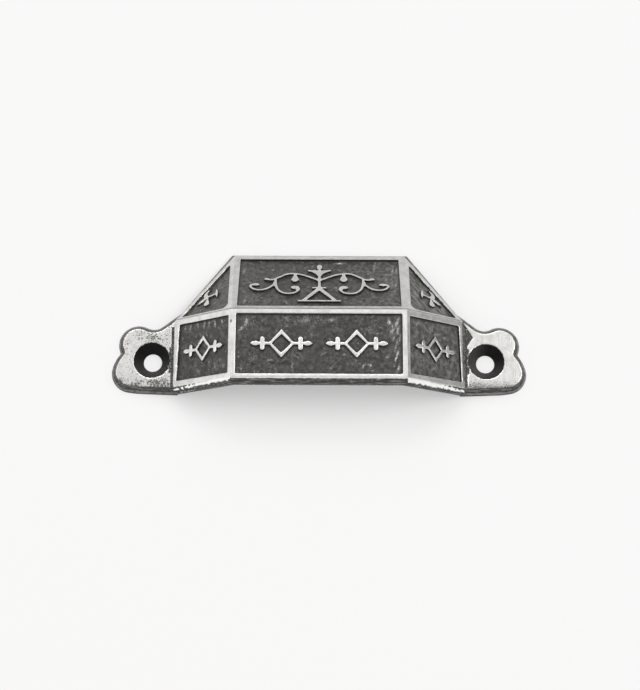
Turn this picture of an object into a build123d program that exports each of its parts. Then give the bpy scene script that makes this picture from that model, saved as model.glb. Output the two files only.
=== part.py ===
"""Cast iron drawer pull: a faceted hood between two screw ears, in one piece.

The back lies on Z = 0 and the hood rises along +Z. X runs along the pull and
+Y points away from the finger opening. The origin is on the back, midway
between the two screw holes. The right half is modelled and then mirrored.
"""

import os

from build123d import *

# Hood, in millimetres and degrees
hole_spacing = 84.0
hole_setback = 5.6
hood_half_width = hole_spacing / 2 - hole_setback
hood_height = 16.5
hood_top_y = 28.25
crown_half_width = 21.8
crown_height = 1.58
front_half_width = 21.5
front_top_y = 9.4
shoulder_y = 10.1
shoulder_height = 3.8

# Section of the casting
wall = 3.0
mouth_y = -8.35
mouth_draft = 3.2
lip_chamfer = 1.4
back_rim = 0.9
flange_width = 0.7
flange_height = 1.1

# Screw ears, with their outline measured from the middle of the hole
hole_diameter = 4.6
countersink_diameter = 9.2
countersink_angle = 82.0
ear_thickness = 3.0
ear_ledge = 0.5
ear_draft = 22.0
riser_run = 0.85
lower_lobe_start = (2.8, -8.05)
lower_lobe_corner = (6.3, -7.65)
lower_lobe_tip = (10.1, -1.9)
notch = (8.1, 2.15)
upper_lobe_side = (7.18, 8.0)
upper_lobe_crest = (4.1, 9.45)
upper_lobe_end = (1.5, 8.95)
neck_side = (-2.3, 9.3)

# Flat rails left standing round the sunk grounds
recess_depth = 0.6
crease_rail = 1.2
ridge_rail = 1.1
lip_rail = 1.48
side_crease_rail = 1.05
side_ridge_rail = 1.4
side_lip_rail = 1.8
side_lip_rail_outer = 2.65
side_outer_rail = 1.6
side_outer_rail_foot = 0.95
scroll_side_rail = 1.3
scroll_ridge_rail = 1.45
scroll_crown_rail = 1.5
corner_rail = 1.35
corner_ridge_rail = 1.0
ground_corner_radius = 0.3
corner_ground_radius = 1.2

# Raised ornament, level with the rails
stroke = 0.6
bar_width = 1.15
arm_width = 0.75
arm_fillet = 0.5
leaf_length = 2.5
leaf_neck = 1.0
leaf_half_width = 0.6
point_radius = 0.2
front_diamond_spacing = 18.35
front_diamond = dict(corner=(3.2, 3.65), hole=(2.35, 2.33), bar_at=4.65, bar_height=3.4, reach=7.6)
side_diamond = dict(corner=(2.85, 3.35), hole=(1.92, 2.12), bar_at=4.2, bar_height=3.15, reach=6.85)
side_diamond_turn = 2.0

# Middle of the scroll panel, measured from its centre
bead = ((0, 6.95), (0.66, 1.12))
cup_rim_y = 5.35
cup_rim = 0.5
cup_half_width = 2.9
cup_side = (1.2, 4.1)
cup_foot_y = 2.6
stem_width = 0.65
stem_knot = ((0, 1.2), (0.8, 0.75))
collar_y = -2.5
collar_half_width = 1.75
collar_knot = (0.8, 0.6)
foot_y = -8.27
foot_apex_y = -1.77
foot_half_width = 4.3
foot_opening_apex_y = -3.7
foot_opening_half_width = 3.25
base_half_width = 5.3

# Scrolls of its right half: where each stroke starts, its direction there, and what it passes
branch_points = [(3.2, 2.85), (6.3, 3.92), (9.1, 3.1), (11.1, 1.5), (12.4, 1.1), (13.4, 1.4)]
branch = ((0, 0.75), (4, 2.9), branch_points)
inner_curl_points = [(10.7, -2.27), (9.4, -4.45), (7.9, -5.05), (6.2, -4.65), (5.2, -3.4), (5.5, -2.3)]
inner_curl = ((11.0, 1.4), (1, -25), inner_curl_points)
outer_curl = ((11.1, -0.6), (3, -5), [(12.7, -2.6), (15.25, -3.5), (17.15, -2.2), (16.6, -1.1)])

# Its swellings: a centre and two radii each
tail_bud = ((13.25, 1.42), (0.6, 0.45))
inner_bud = ((6.1, -2.35), (1.0, 0.72))
inner_heel = ((5.35, -3.1), (0.5, 0.85))
outer_bud = ((15.95, -1.1), (0.95, 0.52))
fork = ((11.1, -0.75), (0.5, 1.2))

# Bud that hangs from the branch
drop_x = 6.1
drop_neck = (0.4, 2.85)
drop_shoulder = (0.72, 2.05)
drop_side = (1.0, 1.25)
drop_cheek = (0.68, 0.6)
drop_tip_y = 0.2

# Sprig of the corner panel, measured from its corner at the front ridge
sprig_node = (11.9, 6.9)
sprig_bar = ((8.45, 6.15), (10.4, 9.45))
sprig_bar_half_width = 0.42
sprig_stem = (9.5, 7.6)
sprig_leaf = ((11.6, 7.2), (14.5, 4.45))
sprig_petal_outer = [(11.9, 6.6), (13.95, 8.05), (12.45, 9.75)]
sprig_petal_inner = [(12.45, 9.75), (12.8, 8.35), (11.7, 7.3)]
sprig_fan = [(9.95, 4.2), (10.95, 3.55), (11.95, 4.25)]


def facet(corner, along, across):
    """Outward plane on three corners, its x axis from the first to the second."""
    x_direction = along - corner
    return Plane(origin=corner, x_dir=x_direction, z_dir=x_direction.cross(across - corner))


# Corners of the right half of the hood
ridge_middle = Vector(0, front_top_y, hood_height)
front_top = Vector(front_half_width, front_top_y, hood_height)
front_foot = Vector(front_half_width, mouth_y, hood_height)
side_foot = Vector(hood_half_width, mouth_y, shoulder_height)
shoulder = Vector(hood_half_width, shoulder_y, shoulder_height)
crown = Vector(crown_half_width, hood_top_y, crown_height)
crown_middle = Vector(0, hood_top_y, crown_height)

# Planes that bound it
front_plane = facet(Vector(0, mouth_y, hood_height), front_foot, ridge_middle)
scroll_plane = facet(ridge_middle, front_top, crown_middle)
side_plane = facet(front_foot, side_foot, front_top)
corner_plane = facet(front_top, shoulder, crown)
top_wall = Plane(origin=crown, z_dir=(0, 1, 0))
diagonal_wall = Plane(origin=crown, z_dir=(crown - shoulder).cross(Vector(0, 0, 1)))
side_wall = Plane(origin=shoulder, z_dir=(1, 0, 0))
mouth_plane = Plane(origin=(0, mouth_y, 0), z_dir=Vector(0, -1, 0).rotate(Axis.X, mouth_draft))


def hood_block(facet_inset, wall_inset, past_mouth):
    """Right half of the faceted block, with its facets and its upright walls moved in."""
    with BuildPart() as block:
        with BuildSketch():
            with Locations((0, mouth_y - hood_height)):
                Rectangle(hood_half_width, 2 * hood_top_y + hood_height, align=(Align.MIN, Align.MIN))
        extrude(amount=hood_height)
        for plane in [front_plane, scroll_plane, side_plane, corner_plane]:
            split(bisect_by=plane.offset(-facet_inset), keep=Keep.BOTTOM)
        for plane in [top_wall, diagonal_wall, side_wall]:
            split(bisect_by=plane.offset(-wall_inset), keep=Keep.BOTTOM)
        split(bisect_by=mouth_plane.offset(past_mouth), keep=Keep.BOTTOM)
    return block.part


def at_lip(edge):
    """True for the edges where the mouth meets the front and side panels."""
    return min(edge.center().X, edge.center().Z) > shoulder_height


def from_hole(place):
    """A point of the ear's outline."""
    return Vector(hole_spacing / 2 + place[0], place[1])


def base_outline():
    """Right half of the outline on the back face, round the hood's flange and the ear."""
    flange_y = hood_top_y + flange_width / 2
    shoulder_out = Vector(shoulder.X, shoulder.Y) + diagonal_wall.z_dir * flange_width
    slant = (crown.X - shoulder.X) / (crown.Y - shoulder.Y)
    crown_out = (shoulder_out.X + (flange_y - shoulder_out.Y) * slant, flange_y)
    with BuildSketch() as outline:
        with BuildLine():
            Polyline((0, flange_y), (0, mouth_y), (hood_half_width, mouth_y))
            edge = Line((hood_half_width, mouth_y), from_hole(lower_lobe_start))
            for point in [lower_lobe_corner, lower_lobe_tip, notch]:
                edge = TangentArc(edge @ 1, from_hole(point), tangent=edge % 1)
            edge = ThreePointArc(from_hole(notch), from_hole(upper_lobe_side), from_hole(upper_lobe_crest))
            for point in [upper_lobe_end, neck_side]:
                edge = TangentArc(edge @ 1, from_hole(point), tangent=edge % 1)
            neck = IntersectingLine(edge @ 1, edge % 1, Line(crown_out, shoulder_out, mode=Mode.PRIVATE))
            Polyline(neck @ 1, crown_out, (0, flange_y))
        make_face()
    return outline.sketch


def scroll(start, tangent, points):
    """A stroke of arcs through the points, each leaving the last one smoothly."""
    with BuildSketch() as curl:
        with BuildLine():
            for point in points:
                arc = TangentArc(start, point, tangent=tangent)
                start = arc @ 1
                tangent = arc % 1
        trace(line_width=stroke)
    return curl.sketch


def bar(start, end, width=stroke):
    """A straight stroke with square ends."""
    with BuildSketch() as straight:
        with BuildLine():
            Line(start, end)
        trace(line_width=width)
    return straight.sketch


def bud(place, radii):
    """A swelling of a stroke, or its rounded end."""
    with BuildSketch() as swelling:
        with Locations(place):
            Ellipse(*radii)
    return swelling.sketch


def leaf(start, end, half_width):
    """A leaf with two pointed ends."""
    start = Vector(*start)
    end = Vector(*end)
    bulge = (end - start).normalized().rotate(Axis.Z, 90) * half_width
    with BuildSketch() as blade:
        with BuildLine():
            ThreePointArc(start, (start + end) / 2 + bulge, end)
            ThreePointArc(end, (start + end) / 2 - bulge, start)
        make_face()
    return blade.sketch


def rhombus(half_width, half_height):
    """A diamond with its points rounded."""
    with BuildSketch() as outline:
        Polygon((-half_width, 0), (0, half_height), (half_width, 0), (0, -half_height))
        fillet(outline.vertices(), radius=point_radius)
    return outline.sketch


def diamond(corner, hole, bar_at, bar_height, reach):
    """A pierced diamond between two barred leaves."""
    with BuildSketch() as motif:
        add(rhombus(*corner))
        for side in (-1, 1):
            add(bar((0, 0), (side * (bar_at + leaf_neck), 0), arm_width))
        crooks = motif.vertices().filter_by(lambda v: hole[0] < abs(v.X) < corner[0])
        fillet(crooks, radius=arm_fillet)
        for side in (-1, 1):
            with Locations((side * bar_at, 0)):
                SlotOverall(bar_height, bar_width, rotation=90)
            add(leaf((side * (reach - leaf_length), 0), (side * reach, 0), leaf_half_width))
        add(rhombus(*hole), mode=Mode.SUBTRACT)
    return motif.sketch


def foot_opening(foot_top):
    """The three-sided opening of the foot, with its corners rounded."""
    half_width = foot_opening_half_width
    with BuildSketch() as opening:
        Polygon((-half_width, foot_top), (half_width, foot_top), (0, foot_opening_apex_y), align=None)
        fillet(opening.vertices(), radius=point_radius)
    return opening.sketch


def vase():
    """A bead and cup on a stem, over a three-sided foot."""
    foot_top = foot_y + stroke / 2
    lip_high = (cup_half_width, cup_rim_y + cup_rim / 2)
    lip_low = (cup_half_width, cup_rim_y - cup_rim / 2)
    with BuildSketch() as motif:
        with BuildLine():
            Polyline((0, cup_foot_y), (0, cup_rim_y), lip_high, lip_low)
            ThreePointArc(lip_low, cup_side, (stem_width / 2, cup_foot_y))
            Line((stem_width / 2, cup_foot_y), (0, cup_foot_y))
        make_face()
        mirror(about=Plane.YZ)
        add(bar(bead[0], (0, collar_y), stem_width))
        add(bar((-collar_half_width, collar_y), (collar_half_width, collar_y)))
        Polygon((-foot_half_width, foot_top), (foot_half_width, foot_top), (0, foot_apex_y), align=None)
        add(foot_opening(foot_top), mode=Mode.SUBTRACT)
        add(bar((-base_half_width, foot_y), (base_half_width, foot_y)))
        add([bud(*bead), bud(*stem_knot), bud((0, collar_y), collar_knot)])
    return motif.sketch


def drop():
    """The bud that hangs from the branch."""
    branch_y = branch_points[1][1]
    with BuildSketch() as motif:
        with BuildLine():
            Polyline((0, drop_tip_y), (0, branch_y), (drop_neck[0], branch_y), drop_neck)
            ThreePointArc(drop_neck, drop_shoulder, drop_side)
            ThreePointArc(drop_side, drop_cheek, (0, drop_tip_y))
        make_face()
        mirror(about=Plane.YZ)
    return motif.sketch


def sprig():
    """A barred stem, a petal, a leaf and a fan that meet at one node."""
    with BuildSketch() as motif:
        add(leaf(*sprig_bar, sprig_bar_half_width))
        add(bar(sprig_stem, sprig_node, stroke))
        add(leaf(*sprig_leaf, leaf_half_width))
        with BuildLine():
            ThreePointArc(*sprig_petal_outer)
            ThreePointArc(*sprig_petal_inner)
            Line(sprig_petal_inner[-1], sprig_petal_outer[0])
        make_face()
        with BuildLine():
            Line(sprig_node, sprig_fan[0])
            ThreePointArc(*sprig_fan)
            Line(sprig_fan[-1], sprig_node)
        make_face()
    return motif.sketch


def ground(corners, radii, inset=0.0):
    """The part of a facet that is sunk, with its corners rounded by the radii."""
    with BuildSketch() as area:
        with BuildLine():
            Polyline(*corners, close=True)
        make_face()
        if inset:
            offset(amount=-inset, kind=Kind.INTERSECTION)
        for corner, radius in zip(corners, radii):
            fillet(area.vertices().sort_by_distance(corner)[0], radius=radius)
    return area.sketch


# Sizes of the facets in their own planes
front_length = front_top_y - mouth_y
scroll_length = (crown_middle - ridge_middle).length
side_length = (side_foot - front_foot).length
small_radii = [ground_corner_radius] * 4

front_ground_half_width = front_half_width - crease_rail
front_corners = [
    (-front_ground_half_width, lip_rail),
    (front_ground_half_width, lip_rail),
    (front_ground_half_width, front_length - ridge_rail),
    (-front_ground_half_width, front_length - ridge_rail),
]
scroll_ground_half_width = front_half_width - scroll_side_rail
scroll_corners = [
    (-scroll_ground_half_width, scroll_ridge_rail),
    (scroll_ground_half_width, scroll_ridge_rail),
    (scroll_ground_half_width, scroll_length - scroll_crown_rail),
    (-scroll_ground_half_width, scroll_length - scroll_crown_rail),
]
side_corners = [
    (side_crease_rail, side_lip_rail),
    (side_length - side_outer_rail_foot, side_lip_rail_outer),
    (side_length - side_outer_rail, shoulder_y - mouth_y - side_ridge_rail),
    (side_crease_rail, front_length - side_ridge_rail),
]

# The corner panel's ground is inset by its rail, from a triangle that reaches past the ridge
crown_place = corner_plane.to_local_coords(crown)
shoulder_place = corner_plane.to_local_coords(shoulder)
past_ridge = (corner_rail - corner_ridge_rail) / crown_place.Y
corner_corners = [
    crown_place * -past_ridge,
    shoulder_place - (crown_place - shoulder_place) * past_ridge,
    crown_place,
]
corner_radii = [corner_ground_radius, ground_corner_radius, ground_corner_radius]

front_middle = (lip_rail + front_length - ridge_rail) / 2
side_middle = sum([Vector(*corner) for corner in side_corners], Vector()) / len(side_corners)

# Solid hood with its lip chamfered
with BuildPart() as hood:
    add(hood_block(0, 0, 0))
    chamfer(hood.faces().sort_by(Axis.Y)[0].edges().filter_by(at_lip), length=lip_chamfer)

with BuildPart() as pull:
    # Base plate, as high as the parting line
    with BuildSketch():
        add(base_outline())
    extrude(amount=flange_height)

    # Ear, from the parting line to its flat face
    with BuildSketch(Plane.XY.offset(flange_height)):
        add(base_outline())
        offset(amount=-ear_ledge)
        with Locations((hood_half_width - wall, 0)):
            Rectangle(hood_half_width, 4 * hood_top_y, align=(Align.MAX, Align.CENTER), mode=Mode.SUBTRACT)
    extrude(amount=ear_thickness - flange_height, taper=ear_draft)

    # Riser between the ear and the side panel
    ear_run = ear_ledge + (ear_thickness - flange_height) / 2
    with BuildSketch(Plane.XZ.offset(-(shoulder_y - ear_run))):
        with BuildLine():
            Polyline(
                (hood_half_width - wall, ear_thickness),
                (hood_half_width + riser_run, ear_thickness),
                (hood_half_width, shoulder_height),
                (hood_half_width - wall, shoulder_height),
                close=True,
            )
        make_face()
    extrude(amount=shoulder_y - mouth_y - 2 * ear_run)

    # Faceted hood
    add(hood.part)

    # Finger space, open at the back and at the mouth
    add(hood_block(wall, back_rim, hood_height), mode=Mode.SUBTRACT)

    # Countersunk screw hole
    with Locations((hole_spacing / 2, 0, ear_thickness)):
        CounterSinkHole(hole_diameter / 2, countersink_diameter / 2, counter_sink_angle=countersink_angle)

    # Front panel
    with BuildSketch(front_plane):
        add(ground(front_corners, small_radii))
        with GridLocations(front_diamond_spacing, 1, 2, 1):
            with Locations((0, front_middle)):
                add(diamond(**front_diamond), mode=Mode.SUBTRACT)
    extrude(amount=-recess_depth, mode=Mode.SUBTRACT)

    # Scroll panel
    with BuildSketch(scroll_plane):
        add(ground(scroll_corners, small_radii))
        with Locations((0, scroll_length / 2)):
            add([vase(), scroll(*branch), scroll(*inner_curl), scroll(*outer_curl)], mode=Mode.SUBTRACT)
            for swelling in [tail_bud, inner_bud, inner_heel, outer_bud, fork]:
                add(bud(*swelling), mode=Mode.SUBTRACT)
        with Locations((drop_x, scroll_length / 2)):
            add(drop(), mode=Mode.SUBTRACT)
    extrude(amount=-recess_depth, mode=Mode.SUBTRACT)

    # Side panel
    with BuildSketch(side_plane):
        add(ground(side_corners, small_radii))
        with Locations(side_middle):
            add(diamond(**side_diamond), rotation=side_diamond_turn, mode=Mode.SUBTRACT)
    extrude(amount=-recess_depth, mode=Mode.SUBTRACT)

    # Three-sided corner panel
    with BuildSketch(corner_plane):
        add(ground(corner_corners, corner_radii, corner_rail))
        add(sprig(), mode=Mode.SUBTRACT)
    extrude(amount=-recess_depth, mode=Mode.SUBTRACT)

    # Left half
    split(bisect_by=Plane.YZ, keep=Keep.TOP)
    mirror(about=Plane.YZ)

pull.part.label = "drawer_pull"
os.makedirs("parts", exist_ok=True)
export_step(pull.part, "parts/drawer_pull.step")
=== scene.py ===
import math

import bpy
import numpy as np
from mathutils import Matrix, Vector, noise
from mathutils.geometry import delaunay_2d_cdt
from mathutils.kdtree import KDTree


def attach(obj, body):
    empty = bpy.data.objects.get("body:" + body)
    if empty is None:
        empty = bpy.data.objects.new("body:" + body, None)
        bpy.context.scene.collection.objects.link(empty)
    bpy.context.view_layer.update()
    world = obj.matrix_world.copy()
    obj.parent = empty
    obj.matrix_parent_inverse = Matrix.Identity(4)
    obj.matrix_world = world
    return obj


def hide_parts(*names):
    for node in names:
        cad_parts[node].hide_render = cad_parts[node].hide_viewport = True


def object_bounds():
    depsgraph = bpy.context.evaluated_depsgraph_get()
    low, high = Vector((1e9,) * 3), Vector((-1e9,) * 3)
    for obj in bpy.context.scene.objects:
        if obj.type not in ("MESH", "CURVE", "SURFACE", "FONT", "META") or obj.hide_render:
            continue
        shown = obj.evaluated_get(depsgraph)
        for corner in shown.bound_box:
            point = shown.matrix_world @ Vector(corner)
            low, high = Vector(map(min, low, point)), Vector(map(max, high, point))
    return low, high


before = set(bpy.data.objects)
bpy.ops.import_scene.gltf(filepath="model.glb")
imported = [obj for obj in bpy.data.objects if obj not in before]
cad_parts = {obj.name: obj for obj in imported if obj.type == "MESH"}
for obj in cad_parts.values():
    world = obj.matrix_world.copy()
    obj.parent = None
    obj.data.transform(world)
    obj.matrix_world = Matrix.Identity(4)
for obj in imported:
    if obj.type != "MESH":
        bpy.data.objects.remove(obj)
cad_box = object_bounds()

MM = 0.001

# Sizes of the casting in millimetres, the same as in the part's source
HOOD_HEIGHT = 16.5
FRONT_TOP_Y = 9.4
HOOD_TOP_Y = 28.25
CROWN_HEIGHT = 1.58
FRONT_HALF_WIDTH = 21.5
HOOD_HALF_WIDTH = 36.4
SHOULDER_Y = 10.1
SHOULDER_HEIGHT = 3.8
CROWN_HALF_WIDTH = 21.8
RECESS_DEPTH = 0.6
EAR_THICKNESS = 3.0
RISER_RUN = 0.85
HOLE_X = 42.0
COUNTERSINK_RADIUS = 4.6
MOUTH_Y = -8.35
FLANGE_HEIGHT = 1.1

# Place of the small dent in the left crease
NICK = (-21.55, 6.3)


def unit(v):
    v = np.asarray(v, float)
    return v / np.linalg.norm(v)


def share(value):
    """A number held between 0 and 1."""
    return min(1.0, max(0.0, value))


def hump(*terms):
    """A smooth hump: 1 where all terms are 0, and falling away from there."""
    return math.exp(-sum(t ** 2 for t in terms))


def facet_planes():
    """The hood's outer facets by name, each with its outward normal and a point on it."""
    ridge = np.array([0, FRONT_TOP_Y, HOOD_HEIGHT])
    planes = {"front": (np.array([0, 0, 1.0]), ridge)}
    crown_middle = np.array([0, HOOD_TOP_Y, CROWN_HEIGHT])
    planes["scroll"] = (unit(np.cross([1, 0, 0], crown_middle - ridge)), ridge)
    for name, side in (("right", 1), ("left", -1)):
        top = np.array([side * FRONT_HALF_WIDTH, FRONT_TOP_Y, HOOD_HEIGHT])
        foot = np.array([side * HOOD_HALF_WIDTH, MOUTH_Y, SHOULDER_HEIGHT])
        shoulder = np.array([side * HOOD_HALF_WIDTH, SHOULDER_Y, SHOULDER_HEIGHT])
        crown = np.array([side * CROWN_HALF_WIDTH, HOOD_TOP_Y, CROWN_HEIGHT])
        mouth_top = np.array([side * FRONT_HALF_WIDTH, MOUTH_Y, HOOD_HEIGHT])
        planes["side_" + name] = (side * unit(np.cross(foot - mouth_top, top - mouth_top)), top)
        planes["corner_" + name] = (side * unit(np.cross(shoulder - top, crown - top)), top)
    return planes


PLANES = facet_planes()

# Spacing of the refined mesh by kind of surface: near an edge, and away from it
SPACING = {
    "floor": (0.17, 0.27),
    "rail": (0.17, 0.50),
    "ear": (0.18, 0.26),
    "ledge": (0.20, 0.30),
    "step": (0.23, 0.30),
    "sink": (0.22, 0.40),
    "outer": (0.30, 0.46),
    "hidden": (1.6, 2.6),
}

# How near a flat surface lies to a plane or a rim to count as being on it
ON_PLANE = 0.05


def kind_of(normal, centre):
    """Which kind of surface a flat region is, and its facet or side."""
    for name, (n, p) in PLANES.items():
        if normal @ n > 0.999:
            depth = (p - centre) @ n
            if abs(depth) < ON_PLANE:
                return "rail", name
            if abs(depth - RECESS_DEPTH) < ON_PLANE:
                return "floor", name
    x, y, z = abs(centre[0]), centre[1], centre[2]
    side = "right" if centre[0] > 0 else "left"
    if normal[2] > 0.99 and abs(z - EAR_THICKNESS) < ON_PLANE:
        return "ear", side
    if normal[2] > 0.99 and abs(z - FLANGE_HEIGHT) < ON_PLANE:
        return "ledge", side
    if normal[2] < -0.3 and y > MOUTH_Y + 0.6:
        return "hidden", "inside"
    if z < 0.02 and normal[2] < -0.9:
        return "hidden", "back"
    if math.hypot(x - HOLE_X, y) < COUNTERSINK_RADIUS + ON_PLANE:
        return "sink", side
    for name, (n, p) in PLANES.items():
        in_recess = -0.02 < (p - centre) @ n < RECESS_DEPTH + 0.02
        if in_recess and abs(normal @ n) < 0.05 and over_facet(name, centre):
            return "step", name
    under_hood = x < HOOD_HALF_WIDTH - RISER_RUN and y > MOUTH_Y + 0.4 and inside_hood(centre)
    if under_hood and abs(normal[2]) < 0.3:
        return "hidden", "inside"
    return "outer", side


def over_facet(name, c):
    """True where a point lies over that facet in plan."""
    x = abs(c[0])
    if c[1] < MOUTH_Y + 0.8 or x > HOOD_HALF_WIDTH - 0.5:
        return False
    if name == "front":
        return x < FRONT_HALF_WIDTH and c[1] < FRONT_TOP_Y
    if name == "scroll":
        return x < FRONT_HALF_WIDTH + 0.3 and FRONT_TOP_Y < c[1] < HOOD_TOP_Y - 0.6
    if name.startswith("side"):
        return x > FRONT_HALF_WIDTH and c[1] < SHOULDER_Y
    return x > FRONT_HALF_WIDTH and c[1] > FRONT_TOP_Y


def inside_hood(c):
    """True where a point lies well under the hood's facets."""
    return min((p - c) @ n for n, p in PLANES.values()) > 2.0


def whole(tri):
    """True for the triangles that have three different corners."""
    return (tri[:, 0] != tri[:, 1]) & (tri[:, 1] != tri[:, 2]) & (tri[:, 0] != tri[:, 2])


def cad_triangles(node):
    """The node's points in millimetres, with equal ones made one, and its triangles."""
    mesh = node.data
    mesh.calc_loop_triangles()
    points = np.array([v.co[:] for v in mesh.vertices], float) / MM
    corners = np.array([t.vertices[:] for t in mesh.loop_triangles])
    points, index = np.unique(np.round(points, 4), axis=0, return_inverse=True)
    corners = index.reshape(-1)[corners]
    return points, corners[whole(corners)]


def flat_regions(points, corners):
    """Groups of triangles that lie in one plane and touch along edges."""
    flatness, sliver = 0.0015, 1e-5
    a, b, c = (points[corners[:, i]] for i in range(3))
    cross = np.cross(b - a, c - a)
    area = np.linalg.norm(cross, axis=1)
    normals = cross / np.maximum(area, 1e-12)[:, None]
    by_edge = {}
    for t, tri in enumerate(corners.tolist()):
        for i in range(3):
            by_edge.setdefault(frozenset((tri[i], tri[(i + 1) % 3])), []).append(t)
    region_of = np.full(len(corners), -1)
    regions = []
    for seed in np.argsort(-area):
        if region_of[seed] >= 0:
            continue
        n, origin = normals[seed], points[corners[seed, 0]]
        members, stack = [], [int(seed)]
        region_of[seed] = len(regions)
        while stack:
            t = stack.pop()
            members.append(t)
            tri = corners[t].tolist()
            for i in range(3):
                for u in by_edge[frozenset((tri[i], tri[(i + 1) % 3]))]:
                    if region_of[u] >= 0:
                        continue
                    off = np.abs((points[corners[u]] - origin) @ n).max()
                    if off < flatness and (normals[u] @ n > 0.999 or area[u] < sliver):
                        region_of[u] = len(regions)
                        stack.append(u)
        regions.append({"triangles": members, "normal": n, "origin": origin, "edges": []})
    for region in regions:
        tri = np.array(region["triangles"])
        weight = area[tri] + 1e-9
        centre = (points[corners[tri]].mean(1) * weight[:, None]).sum(0) / weight.sum()
        region["kind"], region["facet"] = kind_of(region["normal"], centre)
    return regions, region_of, by_edge


def basis(n):
    """Two directions in the plane of a normal."""
    u = np.cross([0, 0, 1.0], n)
    if np.linalg.norm(u) < 1e-3:
        u = np.cross([0, 1.0, 0], n)
    u = unit(u)
    return u, np.cross(n, u)


def inside_segments(q, start, end):
    """Even-odd test of 2D points against closed loops of segments."""
    batch = 2000
    inside = np.zeros(len(q), bool)
    for low in range(0, len(q), batch):
        p = q[low:low + batch]
        x, y = p[:, :1], p[:, 1:]
        crosses = (start[:, 1] > y) != (end[:, 1] > y)
        with np.errstate(divide="ignore", invalid="ignore"):
            at = start[:, 0] + (y - start[:, 1]) * (end[:, 0] - start[:, 0]) / (end[:, 1] - start[:, 1])
        inside[low:low + batch] = (np.sum(crosses & (x < at), axis=1) % 2) == 1
    return inside


def tree_of(points):
    tree = KDTree(len(points))
    for i, p in enumerate(points):
        tree.insert((*p[:2], p[2] if len(p) > 2 else 0.0), i)
    tree.balance()
    return tree


def fill_points(boundary, start, end, near, far, rng):
    """Points inside a region: close rows beside its edges, then a wider jittered grid."""
    row_pitch, jitter, band = 0.866, 0.16, 2.2 * near
    low, high = boundary.min(0), boundary.max(0)
    if min(high - low) < 1.1 * near:
        return np.zeros((0, 2))
    tree = tree_of(boundary)
    found = []
    for spacing, nearest, furthest in ((near, 0.75 * near, band), (far, band + 0.35 * far, math.inf)):
        rows = np.arange(low[1], high[1] + spacing, spacing * row_pitch)
        grid = []
        for k, y in enumerate(rows):
            x = np.arange(low[0] + (k % 2) * spacing / 2, high[0] + spacing, spacing)
            grid.append(np.stack([x, np.full(len(x), y)], 1))
        grid = np.concatenate(grid)
        grid += rng.uniform(-jitter, jitter, grid.shape) * spacing
        distance = np.array([tree.find((p[0], p[1], 0.0))[2] for p in grid])
        grid = grid[(distance > nearest) & (distance < furthest)]
        if len(grid):
            found.append(grid[inside_segments(grid, start, end)])
    return np.concatenate(found) if found else np.zeros((0, 2))


def split_edges(points, regions, region_of, by_edge):
    """Points with those added along the edges between regions, and the chain of them along each."""
    extra, chains = [], {}
    for edge, users in by_edge.items():
        owners = {int(region_of[t]) for t in users}
        if len(owners) < 2:
            continue
        a, b = sorted(edge)
        spacing = min(SPACING[regions[r]["kind"]][0] for r in owners)
        parts = max(1, int(math.ceil(np.linalg.norm(points[b] - points[a]) / spacing)))
        chain = [a]
        for k in range(1, parts):
            chain.append(len(points) + len(extra))
            extra.append(points[a] + (points[b] - points[a]) * (k / parts))
        chains[edge] = chain + [b]
        for r in owners:
            regions[r]["edges"].append(edge)
    return np.concatenate([points, np.array(extra)]), chains


def fill_region(region, verts, chains, first, rng):
    """The points added inside a region, numbered from first, and its finer triangles."""
    pairs = [(c[i], c[i + 1]) for e in region["edges"] for c in [chains[e]] for i in range(len(c) - 1)]
    if len(pairs) < 3:
        return [], None
    ids = sorted({i for pair in pairs for i in pair})
    local = {v: i for i, v in enumerate(ids)}
    u, v = basis(region["normal"])
    flat = np.stack([(verts[ids] - region["origin"]) @ u, (verts[ids] - region["origin"]) @ v], 1)
    start = flat[[local[a] for a, b in pairs]]
    end = flat[[local[b] for a, b in pairs]]
    inner = fill_points(flat, start, end, *SPACING[region["kind"]], rng)
    coords = [Vector(p) for p in np.concatenate([flat, inner])]
    borders = [(local[a], local[b]) for a, b in pairs]
    out, _, faces, orig, _, _ = delaunay_2d_cdt(coords, borders, [], 0, 1e-6, True)
    if not faces:
        return [], None
    added, mapped = [], []
    for p, source in zip(out, orig):
        known = [s for s in source if s < len(ids)]
        if known:
            mapped.append(ids[known[0]])
        else:
            mapped.append(first + len(added))
            added.append(region["origin"] + u * p[0] + v * p[1])
    faces = np.array(faces)
    middle = np.array([p[:] for p in out])[faces].mean(1)
    return added, np.array(mapped)[faces[inside_segments(middle, start, end)]]


def refine(points, corners):
    """A finer mesh of the same shape, with each triangle's region."""
    rng = np.random.default_rng(7)
    regions, region_of, by_edge = flat_regions(points, corners)
    verts, chains = split_edges(points, regions, region_of, by_edge)
    new_verts, triangles, owner = [], [], []
    for number, region in enumerate(regions):
        added, tri = fill_region(region, verts, chains, len(verts) + len(new_verts), rng)
        if tri is not None:
            new_verts += added
            triangles.append(tri)
            owner += [number] * len(tri)
    verts = np.concatenate([verts, np.array(new_verts)])
    triangles, owner = np.concatenate(triangles), np.array(owner)
    keep = whole(triangles)
    triangles, owner = triangles[keep], owner[keep]
    once = np.sort(np.unique(np.sort(triangles, axis=1), axis=0, return_index=True)[1])
    return verts, triangles[once], owner[once], regions


def edge_pairs(tri):
    """Each edge of the mesh once, with the two triangles at it."""
    pairs = np.sort(np.concatenate([tri[:, [0, 1]], tri[:, [1, 2]], tri[:, [2, 0]]]), axis=1)
    face = np.tile(np.arange(len(tri)), 3)
    order = np.lexsort((pairs[:, 1], pairs[:, 0]))
    pairs, face = pairs[order], face[order]
    same = np.all(pairs[1:] == pairs[:-1], axis=1)
    first = np.nonzero(same)[0]
    return pairs[first], face[first], face[first + 1]


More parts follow.
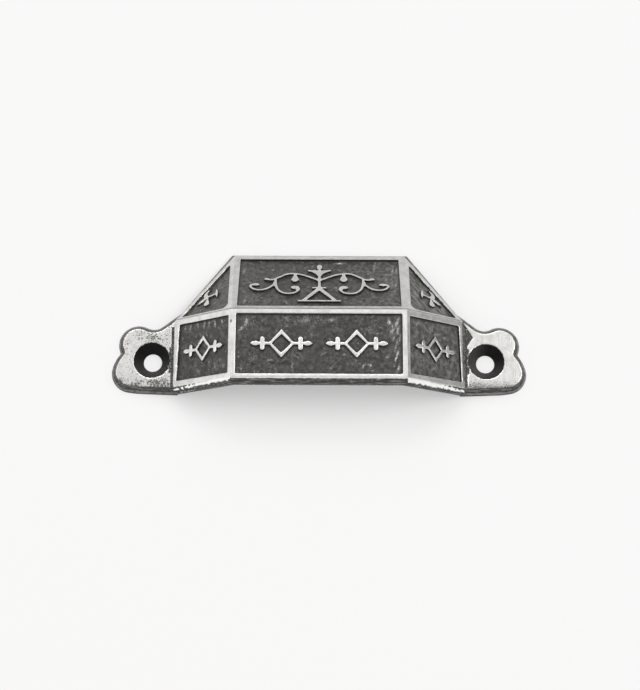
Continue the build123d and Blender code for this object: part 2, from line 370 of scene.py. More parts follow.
def soften(verts, tri, normals, owner, kinds):
    """Rounds the casting's sharp edges a little, but not the creases between rails.

    Gives the moved points, how far and which way each point's nearest rounded edge is, and the creases.
    """
    reach, passes, sharp_cosine = 0.24, 2, 0.92
    pairs, f, g = edge_pairs(tri)
    sharp = (normals[f] * normals[g]).sum(1) < sharp_cosine
    sharp &= (kinds[f] != "hidden") | (kinds[g] != "hidden")
    crease = (kinds[f] == "rail") & (kinds[g] == "rail") & (owner[f] != owner[g])
    tree = tree_of(verts[np.unique(pairs[sharp & ~crease])])
    nearest = [tree.find(p) for p in verts]
    distance = np.array([near[2] for near in nearest])
    toward = (np.array([near[0][:] for near in nearest]) - verts) / np.maximum(distance, 1e-6)[:, None]
    weight = np.clip(1 - distance / reach, 0, 1) ** 0.5
    weight[np.abs(verts[:, 2]) < 1e-4] = 0
    moving = verts.copy()
    for _ in range(passes):
        total = np.zeros_like(moving)
        number = np.zeros(len(moving))
        for here, there in ((0, 1), (1, 0)):
            np.add.at(total, pairs[:, here], moving[pairs[:, there]])
            np.add.at(number, pairs[:, here], 1)
        mean = total / np.maximum(number, 1)[:, None]
        moving += (mean - moving) * (0.5 * weight)[:, None]
    return moving, distance, toward, pairs[crease]


# Places where the dark ground is scuffed light: facet, centre in the facet's plane, half length,
# half width, angle in degrees and strength
SCUFFS = [
    ("front", 19.05, 14.5, 1.1, 0.26, 66, 1.0), ("front", 19.2, 12.4, 1.0, 0.22, 80, 1.0),
    ("front", 17.1, 14.6, 0.6, 0.35, 90, 1.0), ("front", 17.8, 12.4, 0.6, 0.28, 70, 0.95),
    ("front", 17.7, 13.8, 0.5, 0.22, 125, 0.8), ("front", 18.8, 8.7, 1.1, 0.17, 75, 0.9),
    ("front", 18.9, 6.0, 1.3, 0.16, 74, 0.85), ("front", 19.2, 2.9, 0.8, 0.18, 70, 0.9),
    ("front", 18.2, 10.6, 0.9, 0.16, 72, 0.75), ("front", 19.6, 10.3, 0.9, 0.14, 84, 0.7),
    ("front", 10.7, 3.4, 0.45, 0.17, 75, 0.9), ("front", 12.3, 3.8, 0.5, 0.2, 160, 0.9),
    ("front", 3.0, 15.2, 0.8, 0.3, 10, 0.45), ("front", 1.2, 6.6, 0.8, 0.12, 30, 0.45),
    ("front", 2.8, 2.9, 0.4, 0.15, 60, 0.5), ("front", 12.9, 2.4, 0.3, 0.12, 90, 0.5),
    ("front", -17.9, 14.6, 1.1, 0.28, 80, 0.7), ("front", -19.0, 12.9, 0.6, 0.22, 60, 0.6),
    ("front", -18.9, 3.0, 0.5, 0.14, 80, 0.6), ("front", -14.1, 12.8, 0.3, 0.14, 90, 0.5),
    ("front", -3.5, 15.0, 1.2, 0.5, 20, 0.3), ("front", -6.5, 3.2, 1.0, 0.2, 95, 0.3),
    ("scroll", 5.0, 21.5, 0.9, 0.25, 0, 0.9), ("scroll", 18.6, 18.4, 1.6, 0.16, 82, 0.6),
    ("scroll", 19.5, 18.2, 1.0, 0.14, 85, 0.6), ("scroll", 19.2, 11.5, 1.8, 0.16, 86, 0.5),
    ("scroll", -19.1, 17.8, 1.2, 0.2, 80, 0.5), ("scroll", -18.4, 4.6, 1.5, 0.2, 80, 0.4),
    ("scroll", 14.0, 20.0, 2.0, 0.2, 84, 0.35), ("scroll", -1.0, 18.4, 0.35, 0.15, 0, 0.6),
    ("side_left", 3.6, 15.2, 0.9, 0.22, 80, 0.5), ("side_left", 6.1, 15.3, 1.1, 0.25, 75, 0.6),
    ("side_left", 8.1, 15.6, 0.8, 0.25, 95, 0.5), ("side_left", 9.7, 15.8, 1.0, 0.22, 100, 0.6),
    ("side_left", 12.0, 16.0, 0.7, 0.2, 80, 0.5), ("side_left", 14.6, 15.7, 0.9, 0.22, 105, 0.55),
    ("side_left", 16.4, 16.0, 0.7, 0.2, 90, 0.5), ("side_left", 4.5, 13.7, 0.7, 0.14, 40, 0.35),
    ("side_left", 11.4, 4.0, 0.8, 0.3, 60, 0.3), ("side_left", 5.8, 4.5, 0.9, 0.25, 70, 0.25),
    ("side_right", 3.6, 14.6, 0.9, 0.2, 50, 0.35), ("side_right", 11.2, 13.6, 0.6, 0.14, 15, 0.4),
    ("side_right", 13.2, 13.2, 0.5, 0.16, 20, 0.4), ("side_right", 17.6, 4.9, 0.8, 0.16, 70, 0.35),
]


def facet_place(name, points):
    """Places of points in a facet's plane, in the directions that its panel was laid out in."""
    side = -1 if name.endswith("left") else 1
    if name in ("front", "scroll"):
        along = np.array([1.0, 0, 0])
        origin = np.array([0, MOUTH_Y if name == "front" else FRONT_TOP_Y, HOOD_HEIGHT])
    else:
        along = unit([side * (HOOD_HALF_WIDTH - FRONT_HALF_WIDTH), 0, SHOULDER_HEIGHT - HOOD_HEIGHT])
        origin = np.array([side * FRONT_HALF_WIDTH, MOUTH_Y, HOOD_HEIGHT])
    up = np.cross(PLANES[name][0], along) * side
    return (points - origin) @ along, (points - origin) @ up


def clump(p, scale, shift, low, high):
    """Smoothly cut noise, from 0 to 1."""
    value = noise.noise(Vector(p) * scale + Vector((shift, shift * 0.7, shift * 0.3)))
    return share((value - low) / (high - low))


class Surface:
    """The refined mesh: its points and triangles, with each triangle's kind of surface and facet.

    moved holds the points' final places, distance and toward say how far and which way each
    point's nearest rounded edge is, and facing is the way out of the metal.
    """

    def __init__(self, node):
        self.verts, self.tri, owner, regions = refine(*cad_triangles(node))
        normals = np.array([r["normal"] for r in regions])[owner]
        self.kinds = np.array([r["kind"] for r in regions])[owner]
        self.facets = np.array([r["facet"] for r in regions])[owner]
        self.moved, self.distance, self.toward, self.creases = soften(
            self.verts, self.tri, normals, owner, self.kinds
        )
        self.ground_top = np.isin(self.kinds, ["rail", "ear"])
        self.on_top = self.touched(self.ground_top)
        self.rim = self.on_top & self.touched(~self.ground_top)
        self.facing = self.zeros(3)
        for corner in range(3):
            np.add.at(self.facing, self.tri[:, corner], normals)
        self.facing /= np.maximum(np.linalg.norm(self.facing, axis=1), 1e-9)[:, None]

        # The thin scrollwork keeps most of its flat tops
        thin = self.of("rail", "scroll")
        self.moved[thin] = 0.4 * self.moved[thin] + 0.6 * self.verts[thin]

    def zeros(self, *width):
        return np.zeros((len(self.verts), *width))

    def touched(self, chosen):
        """Which points are corners of the chosen triangles."""
        mark = np.zeros(len(self.verts), bool)
        mark[self.tri[chosen].ravel()] = True
        return mark

    def uses(self, kind):
        """Which points touch a kind of surface."""
        return self.touched(self.kinds == kind)

    def of(self, kind, facet):
        """The numbers of the points that touch a kind of surface of one facet."""
        return np.unique(self.tri[(self.kinds == kind) & (self.facets == facet)])


def scuff_marks(s):
    """How strongly each point of the sunk grounds is scuffed by the marks in the list."""
    scuff = s.zeros()
    for facet, cx, cy, length, width, angle, strength in SCUFFS:
        ids = s.of("floor", facet)
        x, y = facet_place(facet, s.verts[ids])
        a = math.radians(angle)
        along = ((x - cx) * math.cos(a) + (y - cy) * math.sin(a)) / length
        across = ((y - cy) * math.cos(a) - (x - cx) * math.sin(a)) / width
        scuff[ids] = np.maximum(scuff[ids], strength * np.exp(-(along ** 2 + across ** 2)))
    return scuff


def ground_relief(s):
    """The sunk grounds as cast: their lift, their scuffs, and how far the dimples' rims are rubbed."""
    lift, scuff, rubbed = s.zeros(), scuff_marks(s), s.zeros()
    front = set(s.of("floor", "front").tolist())
    for i in np.nonzero(s.uses("floor") & ~s.uses("step"))[0]:
        p = Vector(s.verts[i])
        bumps = 0.050 * noise.noise(p * 0.8) + 0.040 * noise.noise(p * 1.7 + Vector((7, 3, 1)))
        bumps += 0.05 * clump(p, 1.45, 31, 0.28, 0.75)
        rightward = share((s.verts[i][0] - 4.0) / 12.0)
        dimple = noise.voronoi(p * 0.92)[0][0]
        bumps += (0.075 + 0.06 * rightward) * (dimple - 0.42)
        most = 0.30 + (0.10 if i in front else 0.75) * rightward
        rubbed[i] = most * share((dimple - 0.50) / 0.20)
        broken = 0.55 + 0.9 * clump(p, 1.9, 11, -0.3, 0.4)
        scuff[i] = scuff[i] * broken + 0.35 * clump(p, 1.3, 57, 0.46, 0.76)
        lift[i] = (bumps + 0.06 * scuff[i]) * min(1.0, s.distance[i] / 0.45)
    return lift, scuff, rubbed


def corner_grime_and_shade(s):
    """Dirt in the corners of the sunk grounds, darkened further by painted shadow below an upper edge,
    and painted shade on their steps.
    """
    grime_and_shade = s.zeros()
    for name, (normal, _) in PLANES.items():
        ids = s.of("floor", name)
        up = unit(np.cross(normal, np.cross([0, 1.0, 0], normal)))
        # Painted shadow below the upper edges, over an even band of dirt
        shade = 0.42 + 0.58 * np.clip(s.toward[ids] @ up, 0, 1)
        grime_and_shade[ids] = shade * np.exp(-(np.maximum(s.distance[ids] - 0.06, 0) / 0.26) ** 2)
    # Painted shade on the steps, lighter on the corner panels
    grime_and_shade[s.uses("step")] = 1.0
    for name in ("corner_right", "corner_left"):
        grime_and_shade[s.of("step", name)] = 0.55
    return grime_and_shade


def lip_wear_and_highlight(p):
    """How far the lip below the front and side panels is polished bright by use, with a painted highlight
    along it, at a point of the lip.
    """
    x, from_middle = p[0], abs(p[0])
    if from_middle < FRONT_HALF_WIDTH:
        below, reach = HOOD_HEIGHT - p[2], 0.16
    else:
        normal, top = PLANES["side_right" if x > 0 else "side_left"]
        below = float((top - p) @ normal)
        outward = (from_middle - FRONT_HALF_WIDTH) / (HOOD_HALF_WIDTH - FRONT_HALF_WIDTH)
        reach = 0.92 if x > 0 else 0.42 + 0.42 * outward
    ragged = 0.16 * noise.noise(Vector(p) * 2.3 + Vector((6, 1, 3)))
    wear_and_highlight = share((reach + ragged - below) / 0.20 + 0.5)
    # A second, lower line of painted highlight at the left end
    line_start, fade_length, line_depth = -28.5, 2.5, 1.40
    if x < line_start:
        from_end = max(0.0, (x + HOOD_HALF_WIDTH + 0.2) / fade_length)
        fade = min(1.0, (line_start - x) / fade_length, from_end)
        wear_and_highlight = max(wear_and_highlight, 0.62 * fade * hump((below - line_depth) / 0.07))
    return wear_and_highlight


def paint_wear_and_highlights(s):
    """How far edges are polished bright by use, with painted highlights on the lip and on the right
    panel's rims that face the mouth, and how dull the outer margin of the right panel's rail is.
    """
    wear_and_highlight, dull, step = s.zeros(), s.zeros(), s.uses("step")
    lip = s.uses("outer") & (s.verts[:, 1] < MOUTH_Y + 0.75) & (s.verts[:, 2] > SHOULDER_HEIGHT - 1.2)
    for i in np.nonzero(lip)[0]:
        wear_and_highlight[i] = lip_wear_and_highlight(s.verts[i])
    normal = PLANES["side_right"][0]
    for i in s.of("rail", "side_right"):
        if s.verts[i][1] > MOUTH_Y + 3.0:
            dull[i] = share((s.verts[i][0] - HOOD_HALF_WIDTH + 0.42) / 0.25)
        # Painted highlight on the right panel's rims that face the mouth, standing for a reflection of
        # the bright floor
        if s.rim[i] and step[i]:
            out = s.facing[i] - normal * (s.facing[i] @ normal)
            mouthward = -out[1] / (np.linalg.norm(out) + 1e-6)
            wear_and_highlight[i] = max(wear_and_highlight[i], share(mouthward * 1.6 - 0.2))
    return wear_and_highlight, dull


# How much painted shade darkens the rails of a facet
RAIL_SHADE = {"side_right": 0.95, "corner_right": 0.45, "corner_left": 0.25, "scroll": 0.30}

# How much painted light brightens a facet's sunk ground, near the middle of the part and near its ends
FLOOR_LIGHT = {
    "side_right": (0.5, 0.5),
    "scroll": (0.05, 0.45),
    "side_left": (0.1, 0.1),
    "corner_left": (0.6, 0.6),
}


def paint_facet_shading(s):
    """How much painted shading lies at each point: painted shade on the rails and painted light on the
    sunk grounds.
    """
    facet_shading = s.zeros()
    for name, amount in RAIL_SHADE.items():
        for i in s.of("rail", name):
            x, y = s.verts[i][:2]
            cover = 0.75 + 0.5 * noise.noise(Vector(s.verts[i]) * 0.7 + Vector((3, 1, 9)))
            if name == "scroll" and y < FRONT_TOP_Y + 1.3 and abs(x) < FRONT_HALF_WIDTH - 1.0:
                cover *= 2.2
            facet_shading[i] = amount * cover * share((s.distance[i] - 0.08) / 0.16)
    for name, (middle, ends) in FLOOR_LIGHT.items():
        ids = s.of("floor", name)
        facet_shading[ids] = middle + (ends - middle) * np.clip(np.abs(s.verts[ids, 0]) / 18 - 0.2, 0, 1)
    return facet_shading


def ear_specks(p):
    """How thickly pits and dark specks lie on the top of an ear, at a point."""
    x, y = abs(p[0]) - HOLE_X, p[1]
    cloud = 0.5 + 0.9 * noise.noise(Vector(p) * 0.35 + Vector((4, 9, 2)))
    if p[0] < 0:
        above = hump((x - 0.5) / 4.0, (y - 6.0) / 1.8)
        below = hump((x + 1.5) / 3.2, (y + 6.6) / 1.6)
        low = share((-3.9 - y) / 2.4)
        return min(1.0, 0.24 + cloud * (0.75 * above + 0.7 * below + 0.85 * low))
    near = hump((x + 3.5) / 2.2, (y + 6.0) / 1.6)
    low = share((-4.3 - y) / 2.6) ** 1.5
    return min(1.0, 0.12 + (0.6 + 0.4 * cloud) * (1.15 * low + 0.40 * near))


def bare_patch(p):
    """The unground corner of the right ear, beside the hood, and the dull foot of both risers."""
    x, y = abs(p[0]) - HOLE_X, p[1]
    if abs(y) < 3.4 and x < -4.3:
        return 0.9 + 0.8 * noise.noise(Vector(p) * 2.6)
    if p[0] < 0 or x > -1.0 or y < 2.0:
        return 0.0
    reach = -3.0 - abs(y - 6.3) * 0.62
    return share((reach - x) / 0.35)


def pit_ears(s, lift):
    """Pits the ears' tops. Gives how specked and how bare of polish each point is."""
    speck, bare = s.zeros(), s.zeros()
    for i in np.nonzero(s.uses("ear"))[0]:
        p = s.verts[i]
        speck[i], bare[i] = ear_specks(p), bare_patch(p)
        most, darker = (1.0, 0.8) if p[0] < 0 else (0.25, 0.4)
        thick = 0.42 * min(speck[i], most)
        pit = clump(p, 1.9, 83, 0.62 - thick, 0.95 - thick)
        lift[i] -= 0.07 * pit * min(1.0, s.distance[i] / 0.3) + 0.10 * bare[i]
        speck[i] = min(1.0, speck[i] + darker * pit)
    return speck, bare


def roughen_countersinks(s):
    """Makes the countersinks' rims ragged, most on the side of the hood."""
    lowest = 1.6
    for i in np.nonzero(s.uses("sink") | s.uses("ear"))[0]:
        x, y, z = s.verts[i]
        out = np.array([x - math.copysign(HOLE_X, x), y, 0.0])
        radius = np.linalg.norm(out)
        near = hump((radius - COUNTERSINK_RADIUS) / 0.35)
        if near < 0.02 or z < lowest:
            continue
        hoodward = max(0.0, -out[0] * math.copysign(1, x) / radius)
        wobble = noise.noise(Vector(out / radius) * 3.1 + Vector((x, 5, 0)))
        wobble += (0.5 + hoodward) * noise.noise(Vector(out / radius) * 8.0 + Vector((3, x, 0)))
        s.moved[i] += out / radius * (0.09 + 0.10 * hoodward) * wobble * near


def roughen_outside(s, lift):
    """A faint unevenness of the rails, with the nick, and the cast skin of the outer sides."""
    for i in np.nonzero(s.uses("rail") & ~s.rim)[0]:
        x, y = s.verts[i][:2]
        lift[i] = 0.012 * noise.noise(Vector(s.verts[i]) * 0.9 + Vector((2, 8, 5)))
        lift[i] -= 0.09 * hump((x - NICK[0]) / 0.25, (y - NICK[1]) / 0.5)
    for i in np.nonzero(s.uses("outer") & ~s.on_top & (s.verts[:, 2] > 0.05))[0]:
        x, y, z = s.verts[i]
        lift[i] = 0.030 * noise.noise(Vector((x * 0.5, y, z)) * 1.7) - 0.01


def polish_of(s, wear_and_highlight, dull, bare):
    """The share of bright metal at each corner of each triangle."""
    rim, ground_top = s.rim[s.tri], s.ground_top[:, None]
    polish = np.where(ground_top, np.where(rim, 0.82, 1.0), np.where(rim, 0.56, 0.0))
    polish = polish - (bare[s.tri] + dull[s.tri]) * ground_top
    polish = np.maximum(polish, wear_and_highlight[s.tri] * np.isin(s.kinds, ["outer", "rail"])[:, None])
    left_steps = (s.kinds == "step") & (s.facets == "side_left")
    return np.where(left_steps[:, None] & rim, 0.95, polish)


def build_mesh(s):
    """The Blender mesh, smooth but for its sharp edges and the creases between rails."""
    mesh = bpy.data.meshes.new("cast_pull")
    mesh.from_pydata((s.moved * MM).tolist(), [], s.tri.tolist())
    mesh.update()
    mesh.shade_smooth()
    mesh.set_sharp_from_angle(angle=math.radians(50))
    ends = np.empty(2 * len(mesh.edges), np.int32)
    mesh.edges.foreach_get("vertices", ends)
    ends = np.sort(ends.reshape(-1, 2), axis=1)
    edge_keys, crease_keys = (
        e[:, 0].astype(np.int64) * len(s.verts) + e[:, 1] for e in (ends, s.creases)
    )
    for i in np.nonzero(np.isin(edge_keys, crease_keys))[0].tolist():
        mesh.edges[i].use_edge_sharp = True
    return mesh


def store(mesh, domain, shares):
    """Keeps shares on the mesh, where the material reads them by name."""
    for name, values in shares.items():
        attribute = mesh.attributes.new(name, "FLOAT", domain)
        attribute.data.foreach_set("value", values.astype(np.float32).ravel())


def build_casting(node):
    """The casting's visible mesh: the CAD shape with a rough ground, edges polished by use and given
    painted highlights, and pitted ears.
    """
    s = Surface(node)
    lift, scuff, rubbed = ground_relief(s)
    grime_and_shade, facet_shading = corner_grime_and_shade(s), paint_facet_shading(s)
    wear_and_highlight, dull = paint_wear_and_highlights(s)
    speck, bare = pit_ears(s, lift)
    roughen_countersinks(s)
    roughen_outside(s, lift)
    s.moved += s.facing * lift[:, None]
    s.moved = np.clip(s.moved, np.array(cad_box[0]) / MM, np.array(cad_box[1]) / MM)

    mesh = build_mesh(s)
    corner_floor = (s.kinds == "floor") & np.char.startswith(s.facets, "corner")
    masks = {kind: s.kinds == kind for kind in ("sink", "ledge", "outer")} | {"hatch": corner_floor}
    store(mesh, "CORNER", {
        "polish": polish_of(s, wear_and_highlight, dull, bare),
        **{name: np.repeat(mask[:, None], 3, 1) for name, mask in masks.items()},
        "facet_shading": facet_shading[s.tri] * (s.facets != "front")[:, None],
    })
    store(mesh, "POINT", {
        "scuff": scuff, "speck": speck, "grime_and_shade": grime_and_shade, "wear_and_highlight": wear_and_highlight, "rubbed": rubbed,
    })
    piece = bpy.data.objects.new("cast_pull", mesh)
    bpy.context.scene.collection.objects.link(piece)
    return piece


class Nodes:
    """Short calls to build a node tree."""

    def __init__(self, tree):
        self.tree = tree
        tree.nodes.clear()

    def add(self, kind, settings=None, **inputs):
        """A new node; an input's name is given with _ for each space."""
        node = self.tree.nodes.new(kind)
        for key, value in (settings or {}).items():
            setattr(node, key, value)
        for key, value in inputs.items():
            self.put(node.inputs[key.replace("_", " ")], value)
        return node

    def put(self, socket, value):
        if isinstance(value, bpy.types.NodeSocket):
            self.tree.links.new(value, socket)
        else:
            socket.default_value = value

    def maths(self, operation, *values):
        node = self.add("ShaderNodeMath", {"operation": operation})
        for socket, value in zip(node.inputs, values):
            self.put(socket, value)
        return node.outputs[0]

    def times(self, a, b):
        return self.maths("MULTIPLY", a, b)

    def minus(self, a, b):
        return self.maths("SUBTRACT", a, b)

    def gap(self, a, b):
        """How far a value is from another, either way."""
        return self.maths("ABSOLUTE", self.minus(a, b))

    def square_sum(self, a, b):
        return self.maths("ADD", self.times(a, a), self.times(b, b))

    def texture(self, vector, scale, detail=3.0, roughness=0.55):
        node = self.add("ShaderNodeTexNoise", Vector=vector, Scale=scale, Detail=detail)
        self.put(node.inputs["Roughness"], roughness)
        return node.outputs["Fac"]

    def stretched(self, vector, scale):
        """Noise of another scale in each direction."""
        return self.texture(self.add("ShaderNodeMapping", Vector=vector, Scale=scale).outputs[0], 1.0, 4)

    def split(self, vector):
        return self.add("ShaderNodeSeparateXYZ", Vector=vector).outputs

    def ramp(self, value, low, high, to_low=0.0, to_high=1.0):
        """A smooth step between two values."""
        settings = {"clamp": True, "interpolation_type": "SMOOTHSTEP"}
        node = self.add("ShaderNodeMapRange", settings, Value=value, From_Min=low, From_Max=high)
        self.put(node.inputs["To Min"], to_low)
        self.put(node.inputs["To Max"], to_high)
        return node.outputs["Result"]

    def mix(self, data_type, first, output, fac, a, b):
        """A Mix node of a data type, whose colour or number sockets start at first."""
        node = self.add("ShaderNodeMix", {"data_type": data_type}, Factor=fac)
        self.put(node.inputs[first], a)
        self.put(node.inputs[first + 1], b)
        return node.outputs[output]

    def blend(self, fac, a, b):
        return self.mix("RGBA", 6, 2, fac, a, b)

    def layers(self, tone, *layers):
        """Lays named colours over a tone, one after another, each by its factor."""
        for fac, colour in layers:
            tone = self.blend(fac, tone, (*COLOURS[colour], 1))
        return tone

    def bump(self, height, strength, distance):
        return self.add("ShaderNodeBump", Height=height, Strength=strength, Distance=distance).outputs[0]

    def surface(self, kind, fac, a, b):
        """Ends the tree in a mix of two shaders."""
        both = self.add("ShaderNodeMixShader")
        for socket, value in zip(both.inputs, (fac, a.outputs[0], b.outputs[0])):
            self.put(socket, value)
        self.add(kind, Surface=both.outputs[0])


# Colours of the patina and of the bright metal, in linear values
COLOURS = {
    "patina_low": (0.015, 0.0143, 0.0125),
    "patina_high": (0.066, 0.0630, 0.0560),
    "patina_cloud": (0.026, 0.0250, 0.0224),
    # painted light on the sunk grounds of some facets
    "patina_lit": (0.135, 0.131, 0.120),
    "grain": (0.150, 0.146, 0.134),
    "rubbed": (0.145, 0.141, 0.130),
    "vein": (0.34, 0.33, 0.31),
    "hatch": (0.21, 0.205, 0.188),
    "outer_dark": (0.016, 0.0155, 0.0140),
    "outer_light": (0.19, 0.185, 0.174),
    "ledge": (0.24, 0.237, 0.225),
    "scuff": (0.80, 0.79, 0.765),
    # dirt with painted shade, in the corners and on the steps
    "grime_and_shade": (0.009, 0.0088, 0.008),
    # painted light and painted shade of the countersinks
    "cone_lit": (0.036, 0.035, 0.032),
    "cone_shaded": (0.007, 0.0067, 0.0062),
    "cone_hoodward": (0.060, 0.058, 0.054),
    "bright_low": (0.635, 0.628, 0.610),
    "bright_high": (0.765, 0.758, 0.740),
    "speck": (0.42, 0.415, 0.40),
    # painted shade on the rails of some facets
    "bright_shaded": (0.33, 0.325, 0.31),
    # edges polished by use, with painted highlights
    "wear_and_highlight": (0.95, 0.945, 0.93),
    # painted shade along the hood's ridge
    "ridge_shade_line": (0.24, 0.235, 0.22),
    "nick": (0.11, 0.107, 0.10),
}

# The mesh's attributes that the material reads
SHARES = (
    "polish", "sink", "ledge", "outer", "hatch", "facet_shading", "scuff", "speck", "grime_and_shade", "wear_and_highlight", "rubbed",
)


def two_tones(n, fac, low, high):
    """A colour between two named ones."""
    return n.blend(fac, (*COLOURS[low], 1), (*COLOURS[high], 1))


def patina(n, place, x, y, of):
    """The cast skin: warm dark grey, mottled, with a soft sheen."""
    mottle = n.texture(place, 820, 4)
    fine = n.texture(place, 2600, 2)
    streak = n.stretched(place, (300, 2400, 2400))
    vein = n.ramp(n.gap(n.texture(place, 760, 2), 0.5), 0.0, 0.022, 1.0, 0.0)
    vein = n.times(vein, n.ramp(n.texture(place, 260, 2), 0.50, 0.66))

    # Lines that run beside the right corner's outer edge
    slanted = n.add("ShaderNodeCombineXYZ")
    for axis, by_x, by_y in (("X", 1650, 1590), ("Y", -150, 155)):
        n.put(slanted.inputs[axis], n.maths("MULTIPLY_ADD", x, by_x, n.times(y, by_y)))
    hatch = n.times(of["hatch"], n.ramp(x, -0.001, 0.001, 0.0, 0.75))
    hatch = n.times(hatch, n.ramp(n.texture(slanted.outputs[0], 1.0, 2), 0.47, 0.60))

    tone = n.layers(
        two_tones(n, n.ramp(mottle, 0.34, 0.70), "patina_low", "patina_high"),
        (n.ramp(n.texture(place, 190, 3), 0.40, 0.62, 0.75, 0.0), "patina_cloud"),
        # Painted light on the sunk grounds of some facets
        (n.times(of["facet_shading"], n.ramp(mottle, 0.36, 0.62, 0.2, 0.8)), "patina_lit"),
        (n.ramp(fine, 0.52, 0.70, 0.0, 0.32), "grain"),
        (n.times(of["rubbed"], n.ramp(mottle, 0.36, 0.60, 0.25, 0.75)), "rubbed"),
        (n.times(vein, 0.6), "vein"),
        (hatch, "hatch"),
        (n.times(of["outer"], n.ramp(streak, 0.36, 0.47, 0.7, 0.0)), "outer_dark"),
        (n.times(of["outer"], n.ramp(streak, 0.5, 0.66)), "outer_light"),
        (n.times(of["ledge"], n.ramp(mottle, 0.25, 0.7, 0.3, 0.9)), "ledge"),
        (n.times(of["scuff"], n.ramp(fine, 0.42, 0.60, 0.25, 1.0)), "scuff"),
        # Dirt with painted shade in the corners, and painted shade on the steps
        (n.times(of["grime_and_shade"], 0.85), "grime_and_shade"),
    )

    # The countersinks get painted light on the near side, which faces the key lamp, and painted shade at
    # the far side, and the right one is paler beside the hood
    cone = n.layers(
        two_tones(n, n.ramp(y, -0.003, 0.002), "cone_lit", "cone_shaded"),
        (n.ramp(n.gap(x, 0.0385), 0.0, 0.0045, 0.8, 0.0), "cone_hoodward"),
    )
    return n.add(
        "ShaderNodeBsdfPrincipled",
        Metallic=0.2,
        Base_Color=n.blend(of["sink"], tone, cone),
        Specular_IOR_Level=n.maths("MULTIPLY_ADD", of["sink"], -0.3, 0.5),
        Roughness=n.ramp(mottle, 0.3, 0.7, 0.42, 0.58),
        Normal=n.bump(n.texture(place, 2100, 4), 0.7, 0.00009),
    )


def ridge_shade(n, x, y):
    """Where a thin dark line of painted shade runs, just past the hood's ridge."""
    from_middle = n.maths("ABSOLUTE", x)
    aside = n.maths("MAXIMUM", n.minus(from_middle, FRONT_HALF_WIDTH * MM), 0.0)
    slope = (SHOULDER_Y - FRONT_TOP_Y) / (HOOD_HALF_WIDTH - FRONT_HALF_WIDTH)
    ridge = n.maths("MULTIPLY_ADD", aside, slope, (FRONT_TOP_Y + 0.22) * MM)
    line = n.ramp(n.gap(y, ridge), 0.00008, 0.00022, 1.0, 0.0)
    return n.times(line, n.ramp(from_middle, 0.0355, 0.0363, 1.0, 0.0))


def nick_mark(n, x, y):
    """Where the nick in the left crease is dark."""
    across = n.times(n.minus(x, NICK[0] * MM), 1 / (0.26 * MM))
    along = n.times(n.minus(y, NICK[1] * MM), 1 / (0.50 * MM))
    return n.ramp(n.square_sum(across, along), 0.4, 1.3, 0.85, 0.0)


def bright_iron(n, place, x, y, of, grit):
    """The ground faces: bright iron with fine grinding lines and small stains."""
    lines = n.stretched(place, (3800, 240, 3800))
    stain = n.texture(place, 520, 5)
    tone = n.layers(
        two_tones(n, n.ramp(stain, 0.30, 0.66), "bright_low", "bright_high"),
        (n.times(of["speck"], n.ramp(stain, 0.45, 0.6, 0.25, 0.8)), "speck"),
        # Painted shade on the rails of some facets
        (n.times(of["facet_shading"], n.ramp(grit, 0.35, 0.60, 0.60, 1.0)), "bright_shaded"),
        # Edges polished by use, with painted highlights
        (of["wear_and_highlight"], "wear_and_highlight"),
        # Painted shade along the hood's ridge
        (n.times(ridge_shade(n, x, y), n.ramp(stain, 0.35, 0.55, 0.5, 1.0)), "ridge_shade_line"),
        (nick_mark(n, x, y), "nick"),
    )
    return n.add(
        "ShaderNodeBsdfPrincipled",
        Metallic=1.0,
        Base_Color=tone,
        Roughness=n.ramp(lines, 0.3, 0.7, 0.34, 0.48),
        Normal=n.bump(lines, 0.3, 0.00002),
    )


def cast_iron():
    """Dark patina with faces ground bright, split by the polish of each face's corners."""
    material = bpy.data.materials.new("cast_iron_ground_bright")
    material.use_nodes = True
    n = Nodes(material.node_tree)
    place = n.add("ShaderNodeTexCoord").outputs["Object"]
    x, y, _ = n.split(place)
    of = {name: n.add("ShaderNodeAttribute", {"attribute_name": name}).outputs["Fac"] for name in SHARES}

    # The ground faces have a ragged edge, and are open in dark specks that are finer on the right
    ragged = n.times(n.minus(n.texture(place, 1700, 4), 0.5), 0.9)
    mask = n.ramp(n.maths("ADD", of["polish"], ragged), 0.42, 0.60)
    coarse, fine = (n.texture(place, scale, 2, 0.6) for scale in (2900, 4700))
    grit = n.mix("FLOAT", 2, 0, n.ramp(x, -0.001, 0.001), coarse, fine)
    dark_speck = n.ramp(n.maths("ADD", grit, n.times(of["speck"], 0.27)), 0.66, 0.74)
    mask = n.times(mask, n.minus(1.0, n.times(dark_speck, 0.85)))

    dark, light = patina(n, place, x, y, of), bright_iron(n, place, x, y, of, grit)
    n.surface("ShaderNodeOutputMaterial", mask, dark, light)
    return material


def build_floor():
    """A wide pale floor, level with the casting's back, that keeps its shadows light to the camera."""
    half, drop = 3.0, 0.00005
    mesh = bpy.data.meshes.new("floor")
    square = [(-half, -half, 0), (half, -half, 0), (half, half, 0), (-half, half, 0)]
    mesh.from_pydata(square, [], [(0, 1, 2, 3)])
    floor = bpy.data.objects.new("floor", mesh)
    bpy.context.scene.collection.objects.link(floor)
    floor.location.z = -drop
    material = bpy.data.materials.new("pale_floor")
    material.use_nodes = True
    n = Nodes(material.node_tree)
    paint = n.add("ShaderNodeBsdfDiffuse", Color=(0.80, 0.80, 0.797, 1))
    glow = n.add("ShaderNodeEmission", Color=(1.0, 1.0, 0.995, 1), Strength=0.94)

    # The glow is weaker below and beside the hood, so that its shadow shows there
    x, y, _ = n.split(n.add("ShaderNodeTexCoord").outputs["Object"])
    aside = n.maths("MAXIMUM", n.minus(n.maths("ABSOLUTE", x), 0.030), 0.0)
    ahead = n.maths("MAXIMUM", n.minus(n.gap(y, 0.007), 0.012), 0.0)
    glowing = n.ramp(n.maths("SQRT", n.square_sum(aside, ahead)), 0.0, 0.024, 0.37, 0.90)
    to_camera = n.add("ShaderNodeLightPath").outputs["Is Camera Ray"]
    n.surface("ShaderNodeOutputMaterial", n.times(to_camera, glowing), paint, glow)
    mesh.materials.append(material)


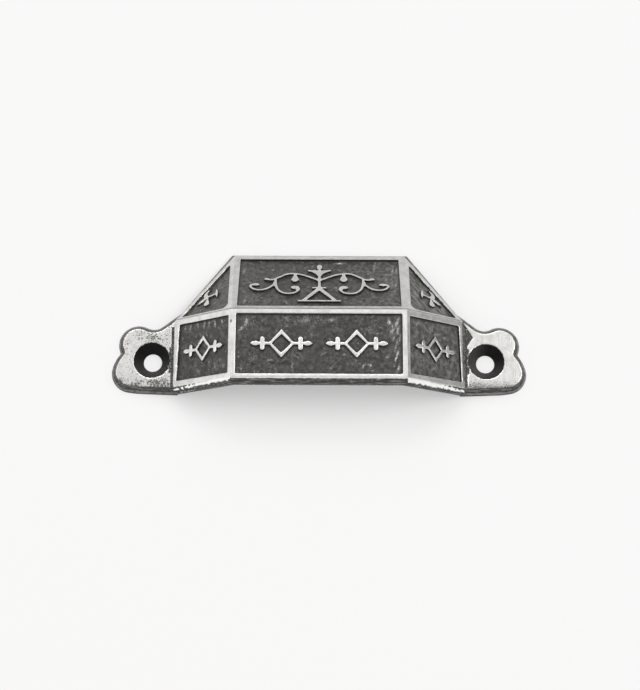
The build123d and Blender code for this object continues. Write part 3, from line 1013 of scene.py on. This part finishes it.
def build_world():
    """A light tent: bright overhead and at the left, dimmer low down at the right and at the far side."""
    world = bpy.data.worlds.new("studio")
    bpy.context.scene.world = world
    world.use_nodes = True
    n = Nodes(world.node_tree)
    x, y, z = n.split(n.add("ShaderNodeTexCoord").outputs["Generated"])
    low = n.maths("MULTIPLY_ADD", x, -0.34, 0.76)
    low = n.maths("MULTIPLY_ADD", y, -0.44, low)
    up = n.ramp(z, 0.0, 0.85)
    strength = n.maths("ADD", n.times(low, n.minus(1.0, up)), n.times(up, 0.635))
    sky = n.add("ShaderNodeBackground", Color=(1, 1, 1, 1), Strength=strength)
    backdrop = n.add("ShaderNodeBackground", Color=(1, 1, 1, 1), Strength=0.94)
    to_camera = n.add("ShaderNodeLightPath").outputs["Is Camera Ray"]
    n.surface("ShaderNodeOutputWorld", to_camera, sky, backdrop)


def softbox(name, place, size, power):
    """A rectangular lamp that looks at the part."""
    data = bpy.data.lights.new(name, "AREA")
    data.shape = "RECTANGLE"
    data.size, data.size_y = size
    data.energy = power
    light = bpy.data.objects.new(name, data)
    light.location = place
    light.rotation_euler = (-light.location).to_track_quat("-Z", "Y").to_euler()
    bpy.context.scene.collection.objects.link(light)


def build_camera():
    """The photograph's view: steep, from the finger side, 400 mm from the part."""
    tilt, roll = math.radians(16.0), math.radians(0.25)
    distance, target = 0.4, Vector((0.22, 5.0, 0)) * MM
    data = bpy.data.cameras.new("photo_view")
    data.sensor_width = 36.0
    data.sensor_fit = "AUTO"
    data.lens = 82.22
    data.clip_start = 0.01
    camera = bpy.data.objects.new("photo_view", data)
    bpy.context.scene.collection.objects.link(camera)
    back = Vector((0, -math.sin(tilt), math.cos(tilt)))
    right = Vector((1, 0, 0))
    up = back.cross(right)
    across = right * math.cos(roll) + up * math.sin(roll)
    over = up * math.cos(roll) - right * math.sin(roll)
    rotation = Matrix((across, over, back)).transposed().to_4x4()
    camera.matrix_world = Matrix.Translation(target + back * distance) @ rotation
    bpy.context.scene.camera = camera


casting = build_casting(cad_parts["drawer_pull"])
casting.data.materials.append(cast_iron())
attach(casting, "root")
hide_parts("drawer_pull")

build_floor()
build_world()
softbox("key", (-0.1, 0.78, 0.80), (1.0, 0.5), 5.2)
softbox("left", (-0.85, 0.1, 0.60), (0.5, 0.4), 1.3)
softbox("right", (0.72, 0.1, 0.76), (0.5, 0.4), 4.0)
build_camera()
bpy.context.scene.view_settings.view_transform = "Standard"
